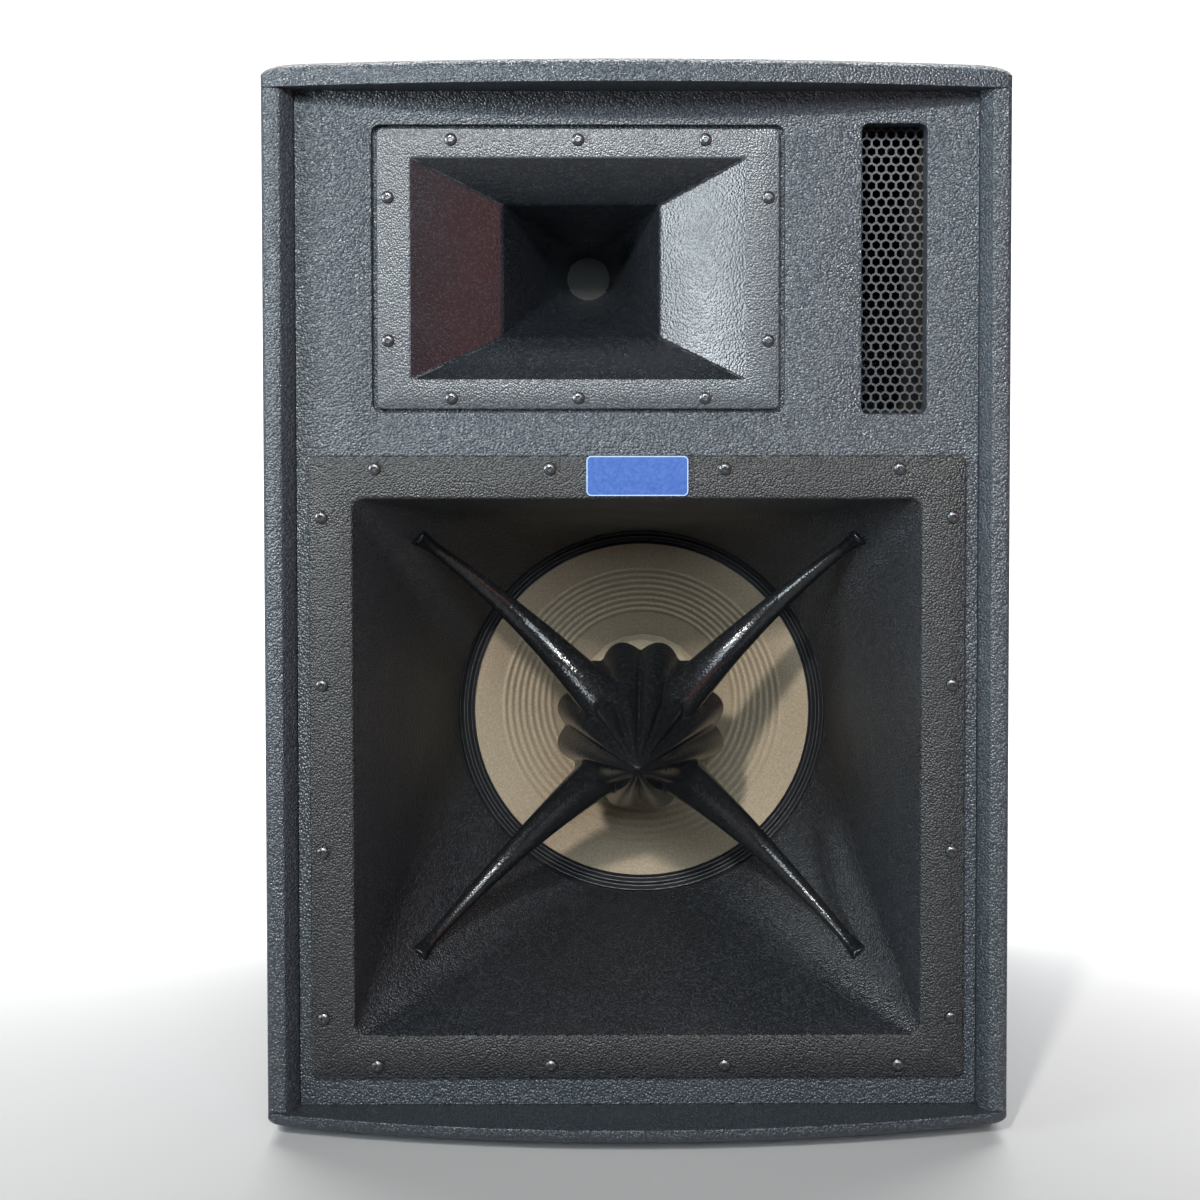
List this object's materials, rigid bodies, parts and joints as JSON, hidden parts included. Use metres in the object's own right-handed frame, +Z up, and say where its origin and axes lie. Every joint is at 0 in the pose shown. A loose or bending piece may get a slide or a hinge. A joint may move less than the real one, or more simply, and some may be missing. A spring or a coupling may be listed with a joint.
{
  "type": "pa speaker cabinet",
  "caption": "Upright PA speaker cabinet with a horn-loaded woofer behind a fluted phase plug, a rectangular treble horn and a slotted port.",
  "frame": {"origin": "centre of the box under the cabinet, on the surface that its feet stand on", "axes": "+Z up, the front with both horns faces -Y, +X to the right seen from the front"},
  "size_m": [0.46, 0.43, 0.6658],
  "materials": {
    "cabinet_paint": "plywood under coarse textured black paint",
    "horn_moulding": "moulded shell with a fine textured black coat",
    "plug_moulding": "half-gloss black moulding with an uneven skin",
    "black_screw": "black oxide steel",
    "grille_steel": "black painted perforated sheet",
    "duct_board": "unfinished dark board",
    "badge_enamel": "blue enamel plate with a thin pale edge",
    "cone_paper": "pressed tan paper pulp",
    "surround_cloth": "doped black cloth",
    "spider_cloth": "resin-dipped cloth",
    "cast_frame": "black painted casting",
    "ferrite": null,
    "plated_steel": "zinc plated steel",
    "coil_winding": "copper winding on a paper former",
    "screen_mesh": "fine grey wire screen",
    "dome_metal": "thin pressed dome",
    "black_plastic": "moulded black plastic",
    "circuit_board": "resin board with soldered parts",
    "foot_rubber": "moulded rubber"
  },
  "bodies": {
    "cabinet": {"top_panel": "cabinet_paint", "bottom_panel": "cabinet_paint", "left_side_panel": "cabinet_paint", "right_side_panel": "cabinet_paint", "front_baffle": "cabinet_paint", "rear_panel": "cabinet_paint", "woofer_horn": "horn_moulding", "hf_horn": "horn_moulding", "phase_plug": "plug_moulding", "woofer_horn_screw_01": "black_screw", "woofer_horn_screw_02": "black_screw", "woofer_horn_screw_03": "black_screw", "woofer_horn_screw_04": "black_screw", "woofer_horn_screw_05": "black_screw", "woofer_horn_screw_06": "black_screw", "woofer_horn_screw_07": "black_screw", "woofer_horn_screw_08": "black_screw", "woofer_horn_screw_09": "black_screw", "woofer_horn_screw_10": "black_screw", "woofer_horn_screw_11": "black_screw", "woofer_horn_screw_12": "black_screw", "woofer_horn_screw_13": "black_screw", "woofer_horn_screw_14": "black_screw", "woofer_horn_screw_15": "black_screw", "woofer_horn_screw_16": "black_screw", "hf_horn_screw_01": "black_screw", "hf_horn_screw_02": "black_screw", "hf_horn_screw_03": "black_screw", "hf_horn_screw_04": "black_screw", "hf_horn_screw_05": "black_screw", "hf_horn_screw_06": "black_screw", "hf_horn_screw_07": "black_screw", "hf_horn_screw_08": "black_screw", "hf_horn_screw_09": "black_screw", "hf_horn_screw_10": "black_screw", "port_grille": "grille_steel", "port_duct": "duct_board", "badge_plate": "badge_enamel", "woofer_surround": "surround_cloth", "woofer_spider": "spider_cloth", "woofer_basket": "cast_frame", "woofer_magnet": "ferrite", "hf_magnet": "ferrite", "woofer_top_plate": "plated_steel", "woofer_yoke": "plated_steel", "hf_driver_body": "plated_steel", "hf_top_plate": "plated_steel", "hf_throat_screen": "screen_mesh", "hf_rear_cover": "black_plastic", "connector_cup": "black_plastic", "input_socket": "black_plastic", "crossover_board": "circuit_board", "foot_front_left": "foot_rubber", "foot_front_right": "foot_rubber", "foot_rear_left": "foot_rubber", "foot_rear_right": "foot_rubber"},
    "cone": {"woofer_cone": "cone_paper", "woofer_dust_cap": "cone_paper", "voice_coil": "coil_winding"},
    "diaphragm": {"hf_diaphragm": "dome_metal"}
  },
  "joints": [
    {"name": "cone_travel", "type": "slide", "parent": "cabinet", "child": "cone", "axis": [0, -1, 0], "range_m": [-0.006, 0.006], "stiffness_N_per_m": 5000, "deforming": ["woofer_surround", "woofer_spider"]},
    {"name": "diaphragm_travel", "type": "slide", "parent": "cabinet", "child": "diaphragm", "axis": [0, 1, 0], "range_m": [-0.0004, 0.0004], "stiffness_N_per_m": 20000}
  ]
}
